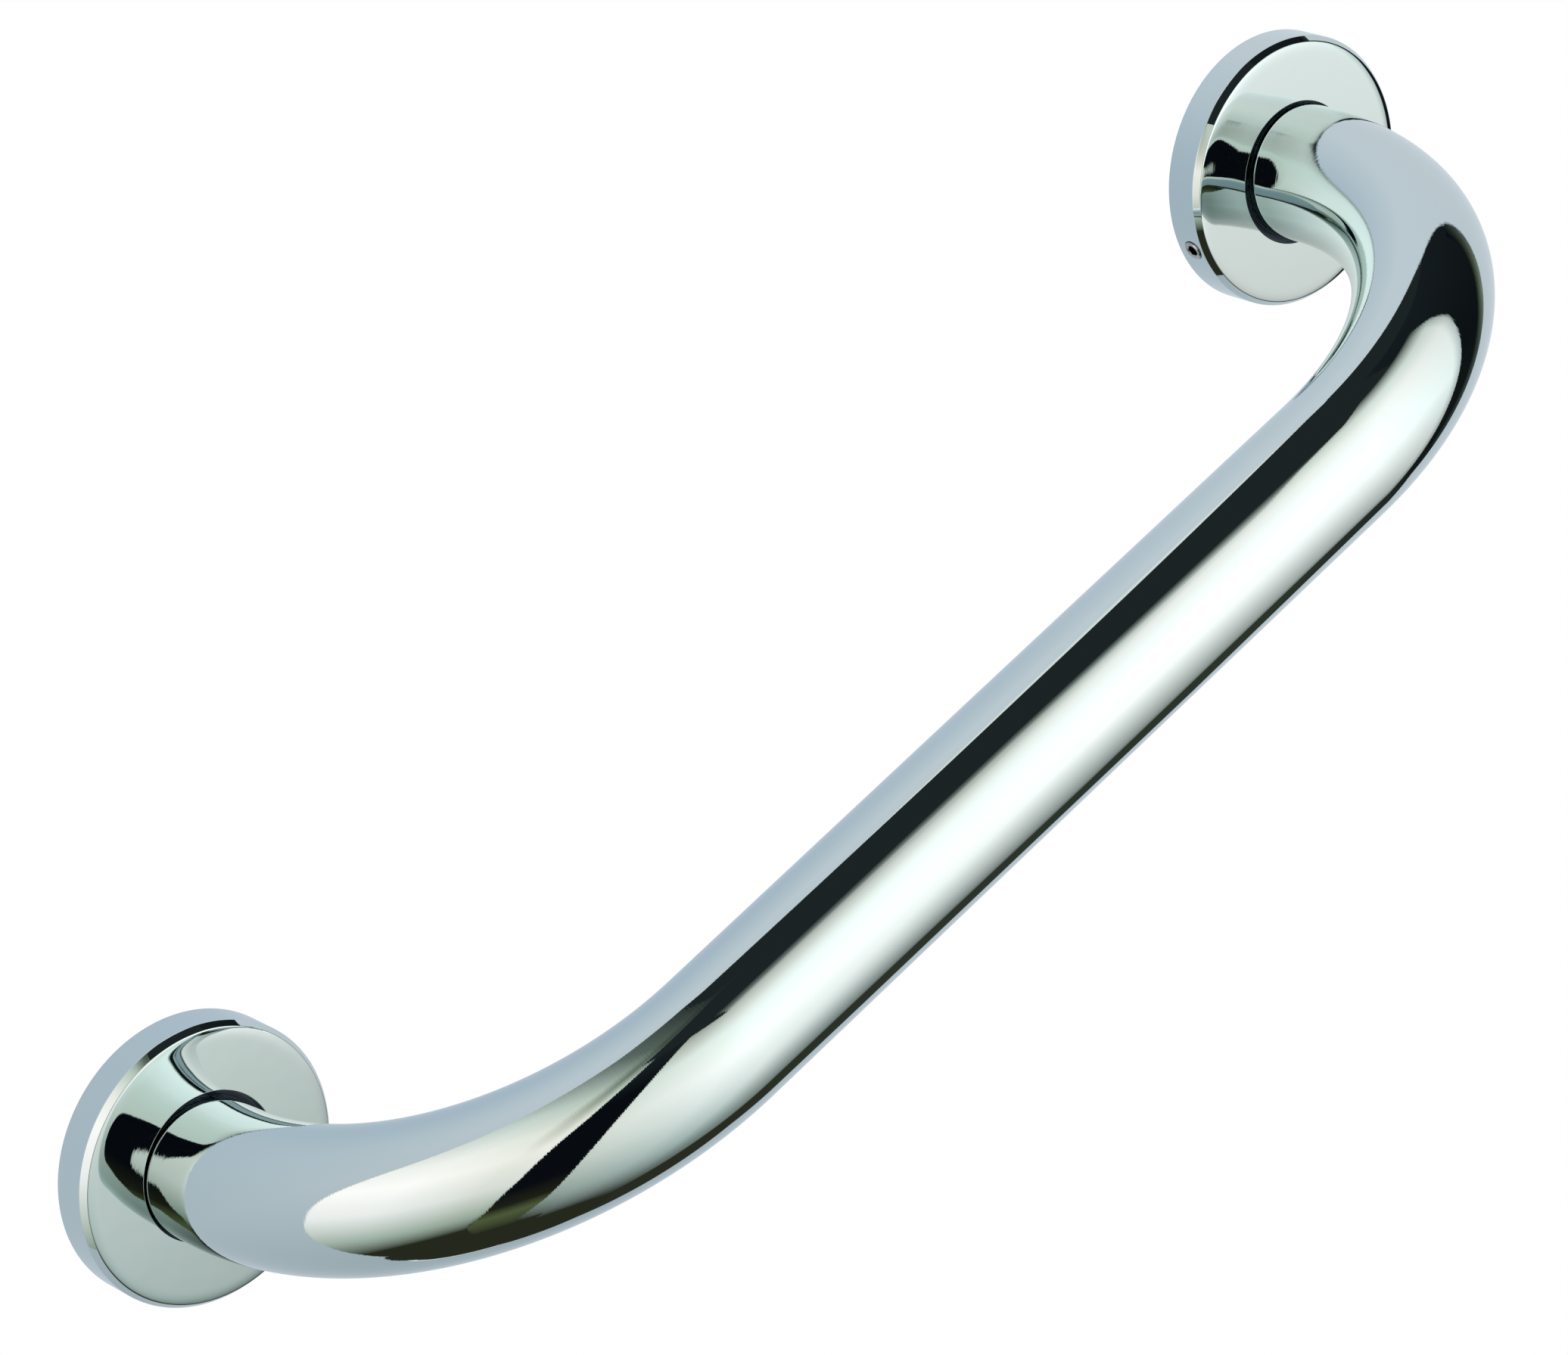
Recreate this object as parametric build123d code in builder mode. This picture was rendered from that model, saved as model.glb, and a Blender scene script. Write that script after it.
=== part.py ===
# Grab bar for a bath or shower wall: a bent tube between two rosettes that clamp on wall plates.
# Frame: the origin lies on the wall midway between the feet, X runs along the bar, -Y points out of
# the wall and Z points up. All sizes are in millimetres.
# How it goes together: a wall plate is screwed to the wall at each foot. The disc welded to the tube's
# end lies on the plate, the rosette goes over both, and a grub screw in its side wall bears on the
# plate's tapered rim, which draws the rosette back and clamps the disc.

import os

from build123d import *

# Tube
tube_diameter = 32
tube_wall = 1.5
foot_spacing = 355  # between the axes of the two feet
bend_radius = 80  # to the tube's axis
stub_length = 5  # straight stretch between the rosette's face and the bend

# Disc welded to each end of the tube
flange_thickness = 2.4
flange_ledge = 10  # how far it stands out around the tube
weld_lip = 0.8  # bead that closes the joint behind the tube's end
weld_gap = 0.05  # around the tube in the disc

# Wall plate
plate_thickness = 6
plate_margin = 1.9  # how far it stands out around the welded disc
rim_taper = 1.2  # how much smaller the rim's back edge is, in radius
screw_count = 3
screw_hole = 5.5
screw_head = 10.4
screw_angle = 90  # of the countersink's cone
screw_edge = 9.4  # from a screw's axis to the plate's rim

# Rosette
face_thickness = 1.6
side_wall = 3.5
bevel_depth = 1.8
bevel_width = 1.15
roll_width = 4  # the face rolls off gently towards the bevel
roll_drop = 0.2
edge_break = 0.2  # rounding of the sharp edges
rosette_play = 0.6  # radial room around the wall plate
ring_gap = 0.25  # least room left around the tube once the rosette is pushed aside
wall_gap = 0.2  # between the rosette and the wall, so that the screw clamps the disc

# Grub screw
grub_diameter = 5
grub_length = 5
grub_key = 2.5  # across the flats of its socket
socket_depth = 2
grub_chamfer = 0.4
cup_diameter = 2.5
cup_depth = 0.6
grub_inset = 1  # from the plate's front edge to the screw's axis
thread_gap = 0.05
contact_gap = 0.05  # between faces that press on each other along a line

# Sizes that follow
tube_radius = tube_diameter / 2
tube_bore = tube_radius - tube_wall
flange_radius = tube_radius + flange_ledge
plate_radius = flange_radius + plate_margin
rosette_bore = plate_radius + rosette_play
rosette_radius = rosette_bore + side_wall
flange_front = plate_thickness + flange_thickness
rosette_depth = flange_front + face_thickness
rosette_shift = rosette_play - contact_gap
rosette_hole = tube_radius + rosette_play + ring_gap
bar_standoff = rosette_depth + stub_length + bend_radius
tube_end = plate_thickness + weld_lip
grub_height = plate_thickness - grub_inset
grub_tip = plate_radius + contact_gap
grub_radius = grub_diameter / 2

os.makedirs("parts", exist_ok=True)


def foot_section(inward, shift=0):
    """Plane through a foot's axis: local x points to the bar's middle, local y out of the wall."""
    foot = -inward * (foot_spacing / 2 - shift)
    return Plane(origin=(foot, 0, 0), x_dir=(inward, 0, 0), z_dir=(0, 0, -inward))


def grub_plane(inward, distance):
    """Plane square to a foot's grub screw, at a distance from the foot's axis, facing the other foot."""
    section = foot_section(inward)
    origin = section.from_local_coords((distance, grub_height, 0))
    return Plane(origin=origin, x_dir=section.y_dir, z_dir=section.x_dir)


# The tube: straight legs, two bends and the bar, in one sweep
with BuildPart() as grab_tube:
    with BuildLine() as route:
        half = foot_spacing / 2
        FilletPolyline(
            (-half, -tube_end),
            (-half, -bar_standoff),
            (half, -bar_standoff),
            (half, -tube_end),
            radius=bend_radius,
        )
    with BuildSketch(Plane(origin=route.line @ 0, z_dir=route.line % 0)):
        Circle(tube_radius)
        Circle(tube_bore, mode=Mode.SUBTRACT)
    sweep()
grab_tube.part.label = "grab_tube"
export_step(grab_tube.part, "parts/grab_tube.step")

for side, inward in (("left", 1), ("right", -1)):
    section = foot_section(inward)
    foot_axis = Axis(section.origin, section.y_dir)

    # Wall plate: a disc with a tapered rim and countersunk holes, the odd one away from the other foot
    with BuildPart() as wall_plate:
        with BuildSketch(section):
            with BuildLine():
                Polyline(
                    (0, 0),
                    (plate_radius - rim_taper, 0),
                    (plate_radius, plate_thickness),
                    (0, plate_thickness),
                    close=True,
                )
            make_face()
        revolve(axis=foot_axis)
        plate_front = section.from_local_coords((0, plate_thickness, 0))
        with Locations(Plane(plate_front, x_dir=section.x_dir, z_dir=section.y_dir)):
            with PolarLocations(plate_radius - screw_edge, screw_count, start_angle=180):
                CounterSinkHole(screw_hole / 2, screw_head / 2, counter_sink_angle=screw_angle)
    wall_plate.part.label = f"wall_plate_{side}"
    export_step(wall_plate.part, f"parts/wall_plate_{side}.step")

    # Welded disc: the tube's end stands on the bead that closes its bore
    with BuildPart() as end_flange:
        with BuildSketch(section):
            with BuildLine():
                Polyline(
                    (tube_bore, plate_thickness),
                    (flange_radius, plate_thickness),
                    (flange_radius, flange_front),
                    (tube_radius + weld_gap, flange_front),
                    (tube_radius + weld_gap, tube_end),
                    (tube_bore, tube_end),
                    close=True,
                )
            make_face()
        revolve(axis=foot_axis)
    end_flange.part.label = f"end_flange_{side}"
    export_step(end_flange.part, f"parts/end_flange_{side}.step")

    # Rosette: a thick cup, pushed towards the other foot by its grub screw
    rosette_section = foot_section(inward, rosette_shift)
    with BuildPart() as rosette:
        with BuildSketch(rosette_section) as profile:
            with BuildLine():
                bevel_foot = (rosette_radius, rosette_depth - bevel_depth)
                bevel_top = (rosette_radius - bevel_width, rosette_depth - roll_drop)
                flat_edge = (rosette_radius - bevel_width - roll_width, rosette_depth)
                Polyline(
                    flat_edge,
                    (rosette_hole, rosette_depth),
                    (rosette_hole, flange_front),
                    (rosette_bore, flange_front),
                    (rosette_bore, wall_gap),
                    (rosette_radius, wall_gap),
                    bevel_foot,
                    bevel_top,
                )
                TangentArc(flat_edge, bevel_top, tangent=(1, 0))
            make_face()
            outer_edges = profile.vertices().group_by(Axis.X)[-1]
            fillet(outer_edges, edge_break)
            hole_edge = profile.vertices().group_by(Axis.X)[0].sort_by(Axis.Y)[-1]
            fillet(hole_edge, edge_break)
        revolve(axis=Axis(rosette_section.origin, rosette_section.y_dir))
        with Locations(grub_plane(inward, rosette_radius + rosette_shift)):
            Hole(grub_radius + thread_gap, depth=side_wall + rosette_play)
    rosette.part.label = f"rosette_{side}"
    export_step(rosette.part, f"parts/rosette_{side}.step")

# Grub screws: hexagon socket at the outer end, cup point against the plate's rim
with BuildPart() as grub_screws:
    for inward in (1, -1):
        screw_tip = grub_plane(inward, grub_tip)
        screw_end = grub_plane(inward, grub_tip + grub_length)
        screw_section = Plane(screw_tip.origin, x_dir=screw_tip.x_dir, z_dir=-screw_tip.y_dir)
        with BuildSketch(screw_section):
            with BuildLine():
                Polyline(
                    (0, cup_depth),
                    (cup_diameter / 2, 0),
                    (grub_radius, grub_radius - cup_diameter / 2),
                    (grub_radius, grub_length - grub_chamfer),
                    (grub_radius - grub_chamfer, grub_length),
                    (0, grub_length),
                    close=True,
                )
            make_face()
        revolve(axis=Axis(screw_tip.origin, screw_tip.z_dir))
        with BuildSketch(screw_end):
            RegularPolygon(grub_key / 2, 6, major_radius=False)
        extrude(amount=-socket_depth, mode=Mode.SUBTRACT)
grub_screws.part.label = "grub_screws"
export_step(grub_screws.part, "parts/grub_screws.step")
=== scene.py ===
# Grab bar for a bath or shower wall: a bent chrome tube between two rosettes that clamp over wall plates.
# Sizes are in metres. X runs along the bar, -Y points out of the wall and Z points up. The origin is on
# the wall, midway between the feet.

import math

import bpy
from mathutils import Euler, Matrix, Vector


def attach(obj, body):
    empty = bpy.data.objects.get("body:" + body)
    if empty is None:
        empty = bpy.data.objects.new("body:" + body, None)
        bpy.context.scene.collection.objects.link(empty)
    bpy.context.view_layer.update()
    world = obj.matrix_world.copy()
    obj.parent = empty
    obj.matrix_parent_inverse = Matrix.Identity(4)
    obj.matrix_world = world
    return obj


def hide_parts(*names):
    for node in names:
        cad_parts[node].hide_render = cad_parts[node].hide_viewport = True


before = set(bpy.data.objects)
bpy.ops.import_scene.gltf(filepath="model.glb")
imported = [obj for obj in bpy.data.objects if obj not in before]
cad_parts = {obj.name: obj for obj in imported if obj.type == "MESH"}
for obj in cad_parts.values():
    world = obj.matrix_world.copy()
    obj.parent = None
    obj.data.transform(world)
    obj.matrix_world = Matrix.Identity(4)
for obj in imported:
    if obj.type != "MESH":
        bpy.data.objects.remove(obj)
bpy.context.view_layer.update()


# Wall plates. Two steel discs, turned from bar, bored for the wall screws and zinc plated.
# They are screwed to the wall before the bar goes on, and keep their own solids here.
foot_reach = 0.1775  # from the bar's middle to the axis of a foot
turning_feed = 0.00025  # between the rings that the lathe left
turning_depth = 0.000008
wave_length = math.pi / 10  # of the ring pattern at a scale of 1
zinc_cloud = 0.012  # width of a cloud in the plating
zinc_roughness = (0.24, 0.4)
zinc_bright = "#C3C7CB"
zinc_bloom = "#98A0AC"


def linear(hex_colour):
    """Turns an sRGB hex colour into a linear RGBA colour."""
    channels = [int(hex_colour[i:i + 2], 16) / 255 for i in (1, 3, 5)]
    return [c / 12.92 if c <= 0.04045 else ((c + 0.055) / 1.055) ** 2.4 for c in channels] + [1]


def add_node(owner, kind, settings, inputs):
    """Adds a node with its settings. An input is a value, or another node's output to link from."""
    tree = owner.node_tree
    node = tree.nodes.new(kind)
    for name, value in settings.items():
        setattr(node, name, value)
    for name, value in inputs.items():
        if isinstance(value, bpy.types.NodeSocket):
            tree.links.new(value, node.inputs[name])
        else:
            node.inputs[name].default_value = value
    return node


def bare_material(name):
    """A material with an empty node tree."""
    material = bpy.data.materials.new(name)
    material.use_nodes = True
    material.node_tree.nodes.clear()
    return material


def coat(piece, material):
    """Gives a piece one material in place of what it had."""
    piece.data.materials.clear()
    piece.data.materials.append(material)


# Bright zinc over turned steel: a soft grey gloss with fine rings round the foot's axis and a blue bloom.
zinc = bare_material("bright_zinc_on_turned_steel")
place = add_node(zinc, "ShaderNodeTexCoord", {}, {})
folded = add_node(zinc, "ShaderNodeVectorMath", {"operation": "ABSOLUTE"}, {0: place.outputs["Object"]})
centred = add_node(zinc, "ShaderNodeMapping", {}, {
    "Vector": folded.outputs[0], "Location": (-foot_reach, 0, 0)})
rings = add_node(zinc, "ShaderNodeTexWave", {"wave_type": "RINGS", "rings_direction": "Y"}, {
    "Vector": centred.outputs[0], "Scale": wave_length / turning_feed, "Distortion": 1.5, "Detail": 2})
bloom = add_node(zinc, "ShaderNodeTexNoise", {}, {
    "Vector": place.outputs["Object"], "Scale": 1 / zinc_cloud, "Detail": 4})
tint = add_node(zinc, "ShaderNodeMix", {"data_type": "RGBA"}, {
    0: bloom.outputs["Fac"], 6: linear(zinc_bright), 7: linear(zinc_bloom)})
gloss = add_node(zinc, "ShaderNodeMapRange", {}, {
    "Value": rings.outputs["Fac"], "To Min": zinc_roughness[0], "To Max": zinc_roughness[1]})
relief = add_node(zinc, "ShaderNodeBump", {}, {"Height": rings.outputs["Fac"], "Distance": turning_depth})
surface = add_node(zinc, "ShaderNodeBsdfPrincipled", {}, {
    "Base Color": tint.outputs[2], "Metallic": 1,
    "Roughness": gloss.outputs[0], "Normal": relief.outputs[0]})
add_node(zinc, "ShaderNodeOutputMaterial", {}, {"Surface": surface.outputs[0]})
for node in ("wall_plate_left", "wall_plate_right"):
    coat(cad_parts[node], zinc)


# End flanges. Discs blanked from steel sheet and welded to the ends of the tube.
# They are plated with the tube but never polished, and lie hidden between wall plate and rosette.
flange_front = 0.0084  # from the wall
gap_shade_reach = 0.0165  # from the tube's axis to the edge of the painted shade's full darkness
gap_shade_fade = 0.021  # from the tube's axis to where the painted shade has faded
sheet_grain = 0.0009  # width of the rolled sheet's grain, drawn coarse enough to show
grain_length = 0.01125  # up and down, the way the sheet was rolled
sheet_roughness = (0.12, 0.24)
# painted shade for the gap round the tube, where the flange shows through the rosette's hole
gap_shade_blue = "#2A3038"
plate_grey = "#767E80"

# Chrome over rolled sheet: satin grey with a faint grain, and a painted shade of dark blue in the gap round
# the tube.
satin = bare_material("chrome_on_rolled_steel_sheet")
place = add_node(satin, "ShaderNodeTexCoord", {}, {})
stretched = add_node(satin, "ShaderNodeMapping", {}, {
    "Vector": place.outputs["Object"], "Scale": (1 / sheet_grain, 1 / sheet_grain, 1 / grain_length)})
grain = add_node(satin, "ShaderNodeTexNoise", {}, {"Vector": stretched.outputs[0], "Scale": 1, "Detail": 3})
folded = add_node(satin, "ShaderNodeVectorMath", {"operation": "ABSOLUTE"}, {0: place.outputs["Object"]})
from_axis = add_node(satin, "ShaderNodeVectorMath", {"operation": "DISTANCE"}, {
    0: folded.outputs[0], 1: (foot_reach, flange_front, 0)})
# painted shade: full near the tube, fading out further from it
gap_shade_mask = add_node(satin, "ShaderNodeMapRange", {}, {
    "Value": from_axis.outputs["Value"], "From Min": gap_shade_reach, "From Max": gap_shade_fade,
    "To Min": 1, "To Max": 0})
tint = add_node(satin, "ShaderNodeMix", {"data_type": "RGBA"}, {
    0: gap_shade_mask.outputs[0], 6: linear(plate_grey), 7: linear(gap_shade_blue)})
gloss = add_node(satin, "ShaderNodeMapRange", {}, {
    "Value": grain.outputs["Fac"], "To Min": sheet_roughness[0], "To Max": sheet_roughness[1]})
surface = add_node(satin, "ShaderNodeBsdfPrincipled", {}, {
    "Base Color": tint.outputs[2], "Metallic": 1, "Roughness": gloss.outputs[0]})
add_node(satin, "ShaderNodeOutputMaterial", {}, {"Surface": surface.outputs[0]})
for node in ("end_flange_left", "end_flange_right"):
    coat(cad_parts[node], satin)


# Grab tube. One length of steel tube, bent twice on a former, belt polished round and round, then
# nickel and chrome plated. Its ends are welded into the flanges.
tube_radius = 0.016
tube_wall = 0.0015
tube_end = 0.0068  # from the wall to the tube's ends
tube_sides = 160
bend_start = 0.015  # from the wall to the start of a bend
bend_radius = 0.08
bend_steps = 72
half_bar = foot_reach - bend_radius
merge_distance = 0.000001
smooth_angle = math.radians(30)  # an edge sharper than this stays an edge
belt_pitch = 0.0004  # between the hairs that the belt left, drawn coarse enough to show
belt_stroke = 0.012  # length of a hair round the tube
belt_depth = 0.0000035
belt_haze = 0.02  # width of a cloud in the polish
chrome_roughness = (0.01, 0.03)
chrome_tint = "#CEDAD8"


def start_ring(name, sides, radius, middle, rotation):
    """Adds a piece as its first ring of points, and leaves that selected in edit mode."""
    bpy.ops.mesh.primitive_circle_add(vertices=sides, radius=radius, location=middle, rotation=rotation)
    piece = bpy.context.object
    piece.name = name
    bpy.ops.object.transform_apply(location=True, rotation=True, scale=True)
    bpy.ops.object.mode_set(mode="EDIT")
    bpy.ops.mesh.select_all(action="SELECT")
    return piece


def close_seams():
    """Merges the doubles of the mesh in edit mode and turns its faces outwards."""
    bpy.ops.mesh.select_all(action="SELECT")
    bpy.ops.mesh.remove_doubles(threshold=merge_distance)
    bpy.ops.mesh.normals_make_consistent(inside=False)


def smooth(piece):
    """Shades the active piece smooth up to its edges, with flat faces that mirror flat."""
    bpy.ops.object.shade_smooth_by_angle(angle=smooth_angle)
    even = piece.modifiers.new("even_normals", "WEIGHTED_NORMAL")
    even.keep_sharp = True
    bpy.ops.object.modifier_apply(modifier=even.name)


tube = start_ring(
    "grab_tube_chrome", tube_sides, tube_radius, (-foot_reach, -tube_end, 0), (math.pi / 2, 0, 0))
bpy.ops.mesh.extrude_region_move(TRANSFORM_OT_translate={"value": (0, tube_end - bend_start, 0)})
bpy.ops.mesh.spin(
    steps=bend_steps, angle=math.pi / 2, center=(-half_bar, -bend_start, 0), axis=(0, 0, -1))
bpy.ops.mesh.extrude_region_move(TRANSFORM_OT_translate={"value": (2 * half_bar, 0, 0)})
bpy.ops.mesh.spin(
    steps=bend_steps, angle=math.pi / 2, center=(half_bar, -bend_start, 0), axis=(0, 0, -1))
bpy.ops.mesh.extrude_region_move(TRANSFORM_OT_translate={"value": (0, bend_start - tube_end, 0)})
close_seams()
bpy.ops.object.mode_set(mode="OBJECT")
wall = tube.modifiers.new("tube_wall", "SOLIDIFY")
wall.thickness = tube_wall
wall.offset = -1
bpy.ops.object.modifier_apply(modifier=wall.name)
smooth(tube)


def unbent(point):
    """Where a point of the tube lay before it was bent: along the axis, out of the bend and up."""
    side = math.copysign(1, point.x)
    across, out = abs(point.x) - half_bar, -point.y - bend_start
    if out < 0:
        return side * (half_bar + bend_radius * math.pi / 2 - out), across - bend_radius, point.z
    if across < 0:
        return point.x, out - bend_radius, point.z
    along_bend = bend_radius * math.atan2(across, out)
    return side * (half_bar + along_bend), math.hypot(across, out) - bend_radius, point.z


straight = tube.data.attributes.new("unbent", "FLOAT_VECTOR", "POINT")
straight.data.foreach_set("vector", [c for v in tube.data.vertices for c in unbent(v.co)])

# Bright chrome over belt-polished tube: a cool mirror. The belt's hairs run round the tube, so reflections
# fray along the bar and stay sharp across it.
belt_chrome = bare_material("bright_chrome_on_belt_polished_tube")
along = add_node(belt_chrome, "ShaderNodeAttribute", {"attribute_name": "unbent"}, {})
hairs_place = add_node(belt_chrome, "ShaderNodeMapping", {}, {
    "Vector": along.outputs["Vector"], "Scale": (1 / belt_pitch, 1 / belt_stroke, 1 / belt_stroke)})
hairs = add_node(belt_chrome, "ShaderNodeTexNoise", {}, {
    "Vector": hairs_place.outputs[0], "Scale": 1, "Detail": 2, "Roughness": 0.6})
haze = add_node(belt_chrome, "ShaderNodeTexNoise", {}, {
    "Vector": along.outputs["Vector"], "Scale": 1 / belt_haze, "Detail": 3})
gloss = add_node(belt_chrome, "ShaderNodeMapRange", {}, {
    "Value": haze.outputs["Fac"], "To Min": chrome_roughness[0], "To Max": chrome_roughness[1]})
relief = add_node(belt_chrome, "ShaderNodeBump", {}, {
    "Height": hairs.outputs["Fac"], "Distance": belt_depth})
surface = add_node(belt_chrome, "ShaderNodeBsdfPrincipled", {}, {
    "Base Color": linear(chrome_tint), "Metallic": 1,
    "Roughness": gloss.outputs[0], "Normal": relief.outputs[0]})
add_node(belt_chrome, "ShaderNodeOutputMaterial", {}, {"Surface": surface.outputs[0]})
coat(tube, belt_chrome)
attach(tube, "root")
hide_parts("grab_tube")


# Rosettes. Thick cups turned from brass, with a flat face that rolls off to a bevelled rim, buffed and
# chromed. Each drops over its wall plate and is drawn back by a grub screw in its side wall.
rosette_reach = 0.17695  # to its axis, once the grub screw has pushed it aside
rosette_back = 0.0002  # from the wall
rosette_bore = 0.0285
rosette_hole = 0.01685
rosette_radius = 0.032
rosette_sides = 256
face_depth = 0.01  # from the wall
roll_start = 0.02685
roll_end = 0.03085
roll_drop = 0.0002
roll_steps = 10
roll_power = 4  # how late and steeply the buff rolled the face off
bevel_foot = 0.0082
edge_break = 0.0002
edge_steps = 4
grub_bore = 0.00255
grub_height = 0.005
drill_length = 0.012
drill_sides = 64
buff_wave = 0.007  # width of a wave that the buff left
buff_depth = 0.00002
buff_haze = 0.015  # width of a cloud in the polish


def next_ring(move, grow, middle):
    """Extrudes the selected ring of points and scales the new one about its middle."""
    bpy.ops.mesh.extrude_region_move(TRANSFORM_OT_translate={"value": move})
    bpy.ops.transform.resize(value=grow, center_override=middle)


def pick(piece):
    """Selects a piece alone and makes it the active one."""
    bpy.ops.object.select_all(action="DESELECT")
    piece.select_set(True)
    bpy.context.view_layer.objects.active = piece


def cut_away(piece, cutter):
    """Cuts a piece with another object, and removes that."""
    bpy.context.view_layer.objects.active = piece
    cut = piece.modifiers.new("cut", "BOOLEAN")
    cut.operation = "DIFFERENCE"
    cut.solver = "EXACT"
    cut.object = cutter
    bpy.ops.object.modifier_apply(modifier=cut.name)
    bpy.data.objects.remove(cutter)


def copy_to_other_foot(piece):
    """Copies a piece and mirrors the copy, whose faces then still need turning outwards."""
    pick(piece)
    bpy.ops.object.duplicate()
    copy = bpy.context.object
    copy.scale.x = -1
    bpy.ops.object.transform_apply(location=True, rotation=True, scale=True)
    return copy


rosette = start_ring(
    "rosette_left_chrome", rosette_sides, rosette_bore,
    (-rosette_reach, -rosette_back, 0), (math.pi / 2, 0, 0))
turned = [
    (rosette_bore, flange_front), (rosette_hole, flange_front),
    (rosette_hole, face_depth), (roll_start, face_depth)]
for step in range(1, roll_steps + 1):
    run = step / roll_steps
    turned.append((roll_start + (roll_end - roll_start) * run, face_depth - roll_drop * run ** roll_power))
turned += [(rosette_radius, bevel_foot), (rosette_radius, rosette_back), (rosette_bore, rosette_back)]
ring_radius, ring_depth = rosette_bore, rosette_back
for radius, depth in turned:
    grow = radius / ring_radius
    next_ring((0, ring_depth - depth, 0), (grow, 1, grow), (-rosette_reach, -depth, 0))
    ring_radius, ring_depth = radius, depth
close_seams()
bpy.ops.object.mode_set(mode="OBJECT")
broken = rosette.modifiers.new("broken_edges", "BEVEL")
broken.width = edge_break
broken.segments = edge_steps
broken.limit_method = "ANGLE"
broken.angle_limit = smooth_angle
bpy.ops.object.modifier_apply(modifier=broken.name)

bpy.ops.mesh.primitive_cylinder_add(
    vertices=drill_sides, radius=grub_bore, depth=drill_length,
    location=(rosette_radius - rosette_reach, -grub_height, 0), rotation=(0, math.pi / 2, 0))
drill = bpy.context.object
cut_away(rosette, drill)
other_rosette = copy_to_other_foot(rosette)
other_rosette.name = "rosette_right_chrome"
for piece in (rosette, other_rosette):
    pick(piece)
    bpy.ops.object.mode_set(mode="EDIT")
    close_seams()
    bpy.ops.object.mode_set(mode="OBJECT")
    smooth(piece)

# Bright chrome over a buffed face: a clear cool mirror with the slight waviness that a buff leaves.
buffed_chrome = bare_material("bright_chrome_on_buffed_brass")
place = add_node(buffed_chrome, "ShaderNodeTexCoord", {}, {})
waves = add_node(buffed_chrome, "ShaderNodeTexNoise", {}, {
    "Vector": place.outputs["Object"], "Scale": 1 / buff_wave, "Detail": 1})
haze = add_node(buffed_chrome, "ShaderNodeTexNoise", {}, {
    "Vector": place.outputs["Object"], "Scale": 1 / buff_haze, "Detail": 4})
gloss = add_node(buffed_chrome, "ShaderNodeMapRange", {}, {
    "Value": haze.outputs["Fac"], "To Min": chrome_roughness[0], "To Max": chrome_roughness[1]})
relief = add_node(buffed_chrome, "ShaderNodeBump", {}, {
    "Height": waves.outputs["Fac"], "Distance": buff_depth})
surface = add_node(buffed_chrome, "ShaderNodeBsdfPrincipled", {}, {
    "Base Color": linear(chrome_tint), "Metallic": 1,
    "Roughness": gloss.outputs[0], "Normal": relief.outputs[0]})
add_node(buffed_chrome, "ShaderNodeOutputMaterial", {}, {"Surface": surface.outputs[0]})
for piece, node in ((rosette, "rosette_left"), (other_rosette, "rosette_right")):
    coat(piece, buffed_chrome)
    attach(piece, "root")
    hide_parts(node)


# Grub screws. M5 socket screws, cold headed and rolled from stainless steel, one in the side wall of each
# rosette on the side that faces the other. The socket's mouth is countersunk, and the cup point bites on
# the plate.
screw_radius = 0.0025
screw_chamfer = 0.0004
screw_end = 0.14455  # from the bar's middle to the screws' outer ends
screw_tip = 0.14955  # from the bar's middle to their points
screw_sides = 64
cup_radius = 0.00125
cup_depth = 0.0006
point_end = screw_tip - (screw_radius - cup_radius)
pinhole = 0.00001  # radius of the rings that are merged to close the ends
socket_key = 0.0025  # across the flats
socket_depth = 0.002
mouth_radius = 0.00165
mouth_angle = math.radians(120)
facet_angle = math.radians(20)  # keeps the edge of 30 degrees between the mouth and the screw's end
steel_cloud = 0.0015  # width of a cloud in the bloom
socket_shade_start = 0.0001  # from the screws' outer ends to where the painted shade begins
socket_shade_full = 0.0004  # from the screws' outer ends to where the painted shade covers all
steel_roughness = (0.14, 0.3)
steel_bright = "#C9C7C2"
steel_dull = "#A09E9A"
# painted shade for the socket, its countersink and the thread
socket_shade_black = "#17181A"

grub = start_ring(
    "grub_screws_steel", screw_sides, cup_radius, (-screw_tip, -grub_height, 0), (0, math.pi / 2, 0))
ring_radius, ring_reach = cup_radius, screw_tip
for radius, reach in (
        (screw_radius, point_end), (screw_radius, screw_end + screw_chamfer),
        (screw_radius - screw_chamfer, screw_end), (pinhole, screw_end)):
    grow = radius / ring_radius
    next_ring((ring_reach - reach, 0, 0), (1, grow, grow), (-reach, -grub_height, 0))
    ring_radius, ring_reach = radius, reach
bpy.ops.mesh.merge(type="CENTER")
bpy.ops.mesh.select_all(action="DESELECT")
bpy.ops.mesh.select_non_manifold()
grow = pinhole / cup_radius
next_ring((cup_depth, 0, 0), (1, grow, grow), (cup_depth - screw_tip, -grub_height, 0))
bpy.ops.mesh.merge(type="CENTER")
bpy.ops.mesh.select_all(action="SELECT")
bpy.ops.mesh.normals_make_consistent(inside=False)
bpy.ops.object.mode_set(mode="OBJECT")

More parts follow.
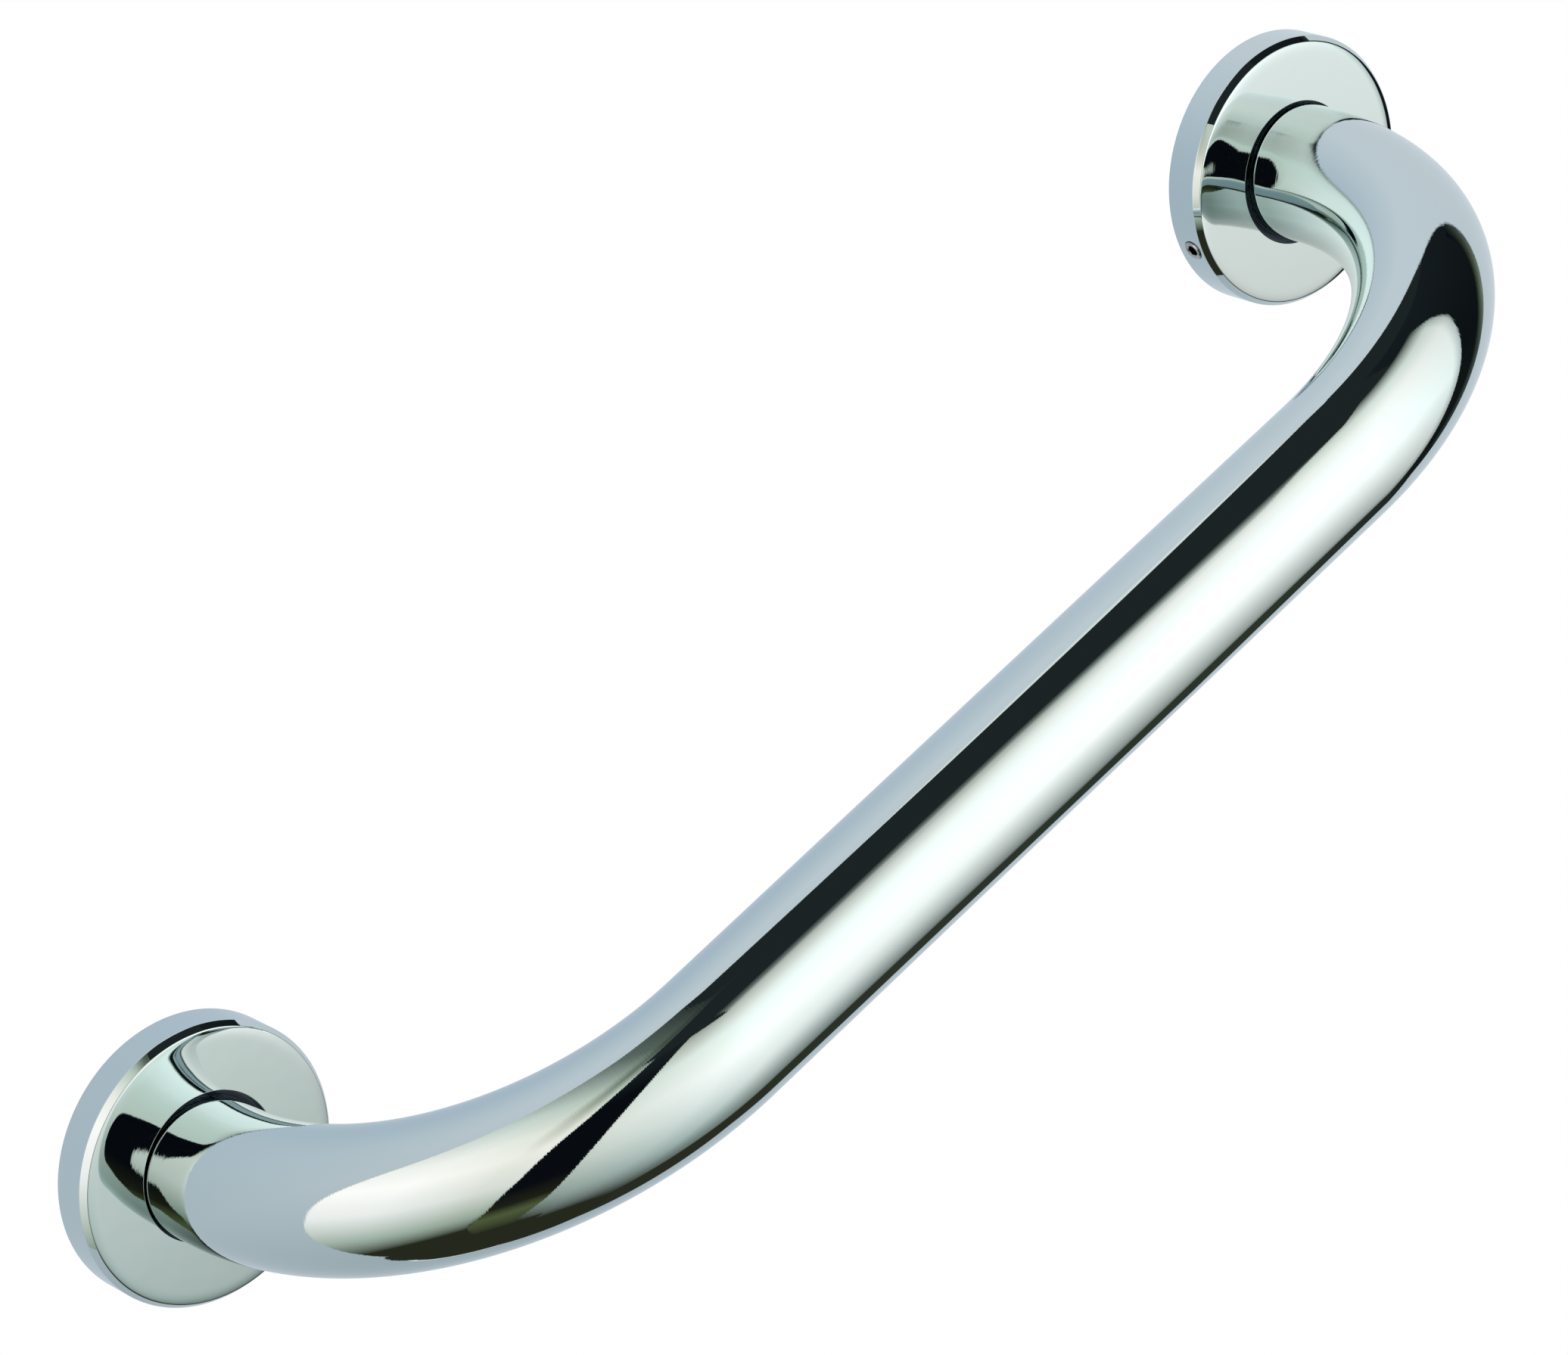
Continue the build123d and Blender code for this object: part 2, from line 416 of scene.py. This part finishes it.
# Both cutters have their middle on the screw's end, where the countersink is as wide as the mouth.
bpy.ops.mesh.primitive_cylinder_add(
    vertices=6, radius=socket_key / math.sqrt(3), depth=2 * socket_depth,
    location=(-screw_end, -grub_height, 0), rotation=(0, math.pi / 2, 0))
punch = bpy.context.object
bpy.ops.mesh.primitive_cone_add(
    vertices=screw_sides, radius1=2 * mouth_radius, depth=2 * mouth_radius / math.tan(mouth_angle / 2),
    location=(-screw_end, -grub_height, 0), rotation=(0, -math.pi / 2, 0))
countersink = bpy.context.object
for cutter in (punch, countersink):
    cut_away(grub, cutter)
copy_to_other_foot(grub)
grub.select_set(True)
bpy.context.view_layer.objects.active = grub
bpy.ops.object.join()
bpy.ops.object.mode_set(mode="EDIT")
close_seams()
bpy.ops.object.mode_set(mode="OBJECT")
bpy.ops.object.shade_smooth_by_angle(angle=facet_angle)

# Stainless steel: the dressed end is a warm grey gloss with a dull bloom, and the socket and thread behind
# it get a painted shade of near black, so the socket reads as a dark hole.
stainless = bare_material("stainless_steel_with_painted_socket_shade")
place = add_node(stainless, "ShaderNodeTexCoord", {}, {})
bloom = add_node(stainless, "ShaderNodeTexNoise", {}, {
    "Vector": place.outputs["Object"], "Scale": 1 / steel_cloud, "Detail": 4})
tint = add_node(stainless, "ShaderNodeMix", {"data_type": "RGBA"}, {
    0: bloom.outputs["Fac"], 6: linear(steel_bright), 7: linear(steel_dull)})
gloss = add_node(stainless, "ShaderNodeMapRange", {}, {
    "Value": bloom.outputs["Fac"], "To Min": steel_roughness[0], "To Max": steel_roughness[1]})
folded = add_node(stainless, "ShaderNodeVectorMath", {"operation": "ABSOLUTE"}, {0: place.outputs["Object"]})
lengths = add_node(stainless, "ShaderNodeSeparateXYZ", {}, {0: folded.outputs[0]})
# painted shade: near black from just behind the screw's end inwards
socket_shade_mask = add_node(stainless, "ShaderNodeMapRange", {}, {
    "Value": lengths.outputs["X"], "From Min": screw_end + socket_shade_start, "From Max": screw_end + socket_shade_full})
colour = add_node(stainless, "ShaderNodeMix", {"data_type": "RGBA"}, {
    0: socket_shade_mask.outputs[0], 6: tint.outputs[2], 7: linear(socket_shade_black)})
surface = add_node(stainless, "ShaderNodeBsdfPrincipled", {}, {
    "Base Color": colour.outputs[2], "Metallic": 1, "Roughness": gloss.outputs[0]})
add_node(stainless, "ShaderNodeOutputMaterial", {}, {"Surface": surface.outputs[0]})
coat(grub, stainless)
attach(grub, "root")
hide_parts("grub_screws")


# Camera. A long lens that looks down on the bar from its left end, turned so that the bar lies across
# the picture.
eye = bpy.data.cameras.new("product_camera")
eye.lens = 144.33
eye.sensor_width = 36
eye.clip_end = 20
camera = bpy.data.objects.new("product_camera", eye)
camera.location = (-0.537031, -1.035163, 0.782047)
camera.rotation_euler = Euler([math.radians(a) for a in (52.7384, 21.3532, -43.0078)])
bpy.context.scene.collection.objects.link(camera)
bpy.context.scene.camera = camera
bpy.context.scene.view_settings.view_transform = "Standard"


# Studio. A light tent half a metre round the bar: two white sheets lit from outside with a dark slit between
# them, a dark room above and to the right, a dark ground, and a pale sweep behind. None of it is part of
# the bar.
tent_reach = 0.5
sheet_cells = 48
floor_size = 14
floor_drop = 1.9  # below the bar
lit_strength = 1.65
dark_strength = 0.82
sweep_strength = 1.03
studio_white = "#FFFFFF"
dark_room = "#293032"
dark_ground = "#363629"
toward_camera = camera.rotation_euler.to_matrix()

pale = bare_material("pale_lit_acrylic_floor")
glow = add_node(pale, "ShaderNodeEmission", {}, {"Color": linear(studio_white), "Strength": 1})
add_node(pale, "ShaderNodeOutputMaterial", {}, {"Surface": glow.outputs[0]})
bpy.ops.mesh.primitive_plane_add(size=floor_size, location=(0, 0, -floor_drop))
floor = bpy.context.object
floor.name = "floor"
coat(floor, pale)

room = bpy.data.worlds.new("pale_room")
room.use_nodes = True
room.node_tree.nodes["Background"].inputs["Color"].default_value = linear(studio_white)
bpy.context.scene.world = room


def hang_sheet(name, reach, strength, rows, across=((0, studio_white), (1, studio_white)), shadows=()):
    """Hangs a curved sheet of light. Reach has its places from left to right, each with its distance as a
    share of the tent's. A row, from bottom to top, has its point at each place and its colour. Points are
    angles in degrees seen from the bar: 0, 0 is at the camera, plus is right and up. Across is a tint from
    left to right. A shadow is its middle, its size and its tint from rim to core."""
    bpy.ops.mesh.primitive_grid_add(x_subdivisions=sheet_cells, y_subdivisions=sheet_cells, size=1)
    sheet = bpy.context.object
    sheet.name = name
    last = len(rows) - 1
    for corner in sheet.data.vertices:
        share, height = corner.co.x + 0.5, (corner.co.y + 0.5) * last
        lower = min(int(height), last - 1)
        left = max(i for i in range(len(reach) - 1) if share >= reach[i][0])
        part = (share - reach[left][0]) / (reach[left + 1][0] - reach[left][0])
        ends = [Vector((*rows[lower][i], reach[i][1])).lerp(
            Vector((*rows[lower + 1][i], reach[i][1])), height - lower) for i in (left, left + 1)]
        turn, rise, distance = ends[0].lerp(ends[1], part)
        turn, rise = math.radians(turn), math.radians(rise)
        toward = Vector((math.sin(turn) * math.cos(rise), math.sin(rise), math.cos(turn) * math.cos(rise)))
        corner.co = toward_camera @ toward * tent_reach * distance
    light = bare_material(name + "_light")
    spread = add_node(light, "ShaderNodeTexCoord", {}, {})
    parts = add_node(light, "ShaderNodeSeparateXYZ", {}, {0: spread.outputs["UV"]})
    upward = [(i / last, row[-1]) for i, row in enumerate(rows)]
    patterns = [(across, parts.outputs["X"]), (upward, parts.outputs["Y"])]
    for middle, size, stops in shadows:
        centred = add_node(light, "ShaderNodeMapping", {}, {
            "Vector": spread.outputs["UV"], "Scale": (1 / size[0], 1 / size[1], 1),
            "Location": (-middle[0] / size[0], -middle[1] / size[1], 0)})
        pool = add_node(light, "ShaderNodeTexGradient", {"gradient_type": "SPHERICAL"}, {
            0: centred.outputs[0]})
        patterns.append((stops, pool.outputs["Fac"]))
    shade = linear(studio_white)
    for stops, source in patterns:
        ramp = add_node(light, "ShaderNodeValToRGB", {}, {"Fac": source})
        while len(ramp.color_ramp.elements) < len(stops):
            ramp.color_ramp.elements.new(0.5)
        for element, (position, colour) in zip(ramp.color_ramp.elements, stops):
            element.position = position
            element.color = linear(colour)
        both = add_node(light, "ShaderNodeMix", {"data_type": "RGBA", "blend_type": "MULTIPLY"}, {
            0: 1.0, 6: shade, 7: ramp.outputs[0]})
        shade = both.outputs[2]
    glow = add_node(light, "ShaderNodeEmission", {}, {"Color": shade, "Strength": strength})
    add_node(light, "ShaderNodeOutputMaterial", {}, {"Surface": glow.outputs[0]})
    coat(sheet, light)
    sheet.visible_camera = False


hang_sheet("left_sheet", [(0, 1), (0.85, 1), (1, 1.8)], lit_strength, [
    ((-67, -64), (-22, -61), (-17, -61), "#29291E"), ((-62, -50), (-18, -50), (-13, -50), "#9BA49A"),
    ((-56, -28), (-15, -28), (-10, -26), "#E6DEDE"), ((-52, -6), (-13.5, -6), (-9.5, -3), "#FAEEEC"),
    ((-49, 10), (-12.5, 8), (-8.6, 12), "#ECE3DF"), ((-44, 30), (-12.5, 22), (-8.8, 27), "#BEC3BD"),
    ((-45, 49), (-13, 38), (-10, 44), "#58615B"), ((-51, 59), (-14, 52), (-11, 57), "#2B3130")],
    across=[(0.3, studio_white), (0.75, "#ECEEE8")],
    shadows=[((0.8, 0.76), (0.16, 0.4), [(0.1, studio_white), (1, "#A9ADA6")])])
hang_sheet("right_sheet", [(0, 1.8), (0.13, 1), (1, 1)], lit_strength, [
    ((9, -73), (15, -74), (80, -74), "#30302A"), ((10.5, -56), (15, -56), (98, -54), "#99A3A0"),
    ((7.6, -29), (15, -30), (115, -30), "#DAD9D8"), ((5.5, -6), (15, -9), (108, -9), "#FAF4F3"),
    ((3.4, 17), (15, 12), (100, 13), studio_white), ((1.5, 33), (15, 29), (87.5, 40), "#F6EEED"),
    ((1.6, 43), (15, 39), (80, 51), "#D6D7D2"), ((2, 53), (15, 49), (72, 60), "#2B2F2A")],
    across=[(0, "#DCDED8"), (0.33, studio_white), (0.6, studio_white), (0.95, "#E4E6E5"), (1, "#AAB2B2")],
    shadows=[
        ((1.05, 0.28), (0.5, 0.31), [(0, studio_white), (1, "#888C8C")]),
        ((0.1, 1), (0.7, 0.69), [
            (0.1, studio_white), (0.4, "#EEEFED"), (0.68, "#B0B6B3"), (1, "#505652")])])
hang_sheet("flag", [(0, 0.91), (0.5, 0.91), (1, 0.91)], dark_strength, [
    ((13, 27), (25, 35), (40, 38.6), "#F0F2EE"), ((9.5, 30), (23, 39), (40, 43.6), "#868B86"),
    ((4, 32.5), (20.5, 42.3), (42, 47), dark_room), ((6, 60), (28, 60), (52, 60), dark_room)])
hang_sheet("slit", [(0, 2), (1, 2)], dark_strength, [
    ((-30, -78), (24, -78), dark_ground), ((-23, -60), (18, -60), "#6A744C"),
    ((-20, -50), (16, -50), "#2C2C20"), ((-17, -34), (15, -34), "#0F131A"),
    ((-15, 16), (13, 16), "#0F131A"), ((-15, 46), (13, 46), dark_room)])
hang_sheet("right_edge", [(0, 1.015), (1, 1.015)], dark_strength, [
    ((110, -6), (118.5, -6), "#3A4144"), ((110, 12), (117.5, 12), "#5E6763"),
    ((110, 24), (117, 24), "#98A191"), ((111, 52), (116, 52), "#2C3234")],
    across=[(0, "#30383A"), (0.4, "#A0A69E"), (1, studio_white)])
hang_sheet("right_dark", [(0, 1.02), (1, 1.02)], dark_strength, [
    ((70, -74), (150, -72), "#3A3A2E"), ((92, -50), (131, -50), "#3A3A2E"),
    ((103, -36), (138, -36), "#3E4339"), ((104, -20), (138, -20), "#3E4339"),
    ((100, -11), (119.5, -11), "#1F2222"), ((90, 20), (117, 20), "#14191C"),
    ((50, 70), (114.5, 70), "#20262A")])
hang_sheet("ceiling", [(0, 1.03), (1, 1.03)], dark_strength, [
    ((-42, 30), (112, 30), dark_room), ((-45, 52), (113, 52), dark_room),
    ((-51, 59), (114, 59), dark_room), ((-30, 70), (114.5, 70), dark_room),
    ((-14, 80), (120, 80), dark_room), ((0, 89), (130, 89), dark_room)])
hang_sheet("near_ground", [(0, 1.04), (1, 1.04)], dark_strength, [
    ((-73, -71), (-21, -71), dark_ground), ((-64, -58), (-21, -58), dark_ground)])
hang_sheet("ground", [(0, 1.05), (0.19, 1.05), (0.3, 1.05), (0.92, 1.05), (1, 1.05)], dark_strength, [
    ((-180, -90), (-112, -90), (-73, -90), (150, -90), (180, -90), dark_ground),
    ((-180, -77), (-112, -77), (-73, -70), (150, -70), (180, -77), dark_ground)])
hang_sheet("sweep", [(0, 1.07), (1, 1.07)], sweep_strength, [
    ((108, -76), (322, -76), "#B9C1CB"), ((108, -35), (322, -35), "#CAD2DC"),
    ((108, 7), (322, 7), "#D7DDE6"), ((108, 48), (322, 48), "#DFE4ED"), ((108, 90), (322, 90), "#E5E9F3")],
    shadows=[((0.57, 0.57), (0.36, 0.38), [(0, studio_white), (0.7, "#E2ECF4")])])
